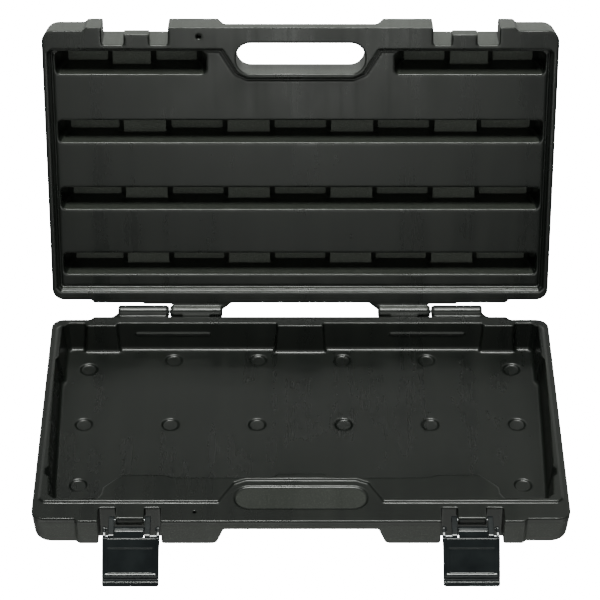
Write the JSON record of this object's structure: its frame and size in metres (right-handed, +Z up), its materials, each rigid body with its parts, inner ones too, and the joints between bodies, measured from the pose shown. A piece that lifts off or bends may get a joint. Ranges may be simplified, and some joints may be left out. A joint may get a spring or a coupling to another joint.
{
  "type": "socket wrench set case",
  "caption": "Empty moulded tool case standing open: deep base tray, lid with rows of tool pockets, split carrying handle, pin hinges and over-centre latches.",
  "frame": {"origin": "centre of the case's width and of its corner sections' depth, on the base's bottom face", "axes": "+X to the right along the hinge axis, +Y from the handle towards the hinges, +Z up out of the open base"},
  "size_m": [0.4508, 0.4155, 0.3001],
  "materials": {
    "moulded_shell": "satin, olive black, fine moulded grain",
    "latch_plastic": "semi-gloss blue-black",
    "steel_pin": "plain drawn wire, dull"
  },
  "bodies": {
    "base": {"base_shell": "moulded_shell", "hinge_pin_left": "steel_pin", "hinge_pin_right": "steel_pin", "link_pin_left": "steel_pin", "link_pin_right": "steel_pin"},
    "lid": {"lid_shell": "moulded_shell"},
    "link_left": {"link_left": "latch_plastic"},
    "link_right": {"link_right": "latch_plastic"},
    "lever_left": {"lever_left": "latch_plastic", "lever_pins_left": "steel_pin"},
    "lever_right": {"lever_right": "latch_plastic", "lever_pins_right": "steel_pin"}
  },
  "joints": [
    {"name": "lid_hinge", "type": "hinge", "parent": "base", "child": "lid", "pos_m": [0, 0.1411, 0.0337], "axis": [1, 0, 0], "range_deg": [0, 103.3]},
    {"name": "latch_link_left", "type": "hinge", "parent": "base", "child": "link_left", "pos_m": [-0.1428, -0.1265, 0.0287], "axis": [-1, 0, 0], "range_deg": [0, 118.2]},
    {"name": "latch_lever_left", "type": "hinge", "parent": "link_left", "child": "lever_left", "pos_m": [-0.1428, -0.14202, 0.0248], "axis": [1, 0, 0], "range_deg": [0, 162.3]},
    {"name": "latch_link_right", "type": "hinge", "parent": "base", "child": "link_right", "pos_m": [0.1428, -0.1265, 0.0287], "axis": [-1, 0, 0], "range_deg": [0, 118.2]},
    {"name": "latch_lever_right", "type": "hinge", "parent": "link_right", "child": "lever_right", "pos_m": [0.1428, -0.14202, 0.0248], "axis": [1, 0, 0], "range_deg": [0, 162.3]}
  ],
  "couplings": [
    {"joint": "latch_lever_left", "follows": "latch_link_left", "ratio": 1.3722},
    {"joint": "latch_lever_right", "follows": "latch_link_right", "ratio": 1.3722}
  ]
}
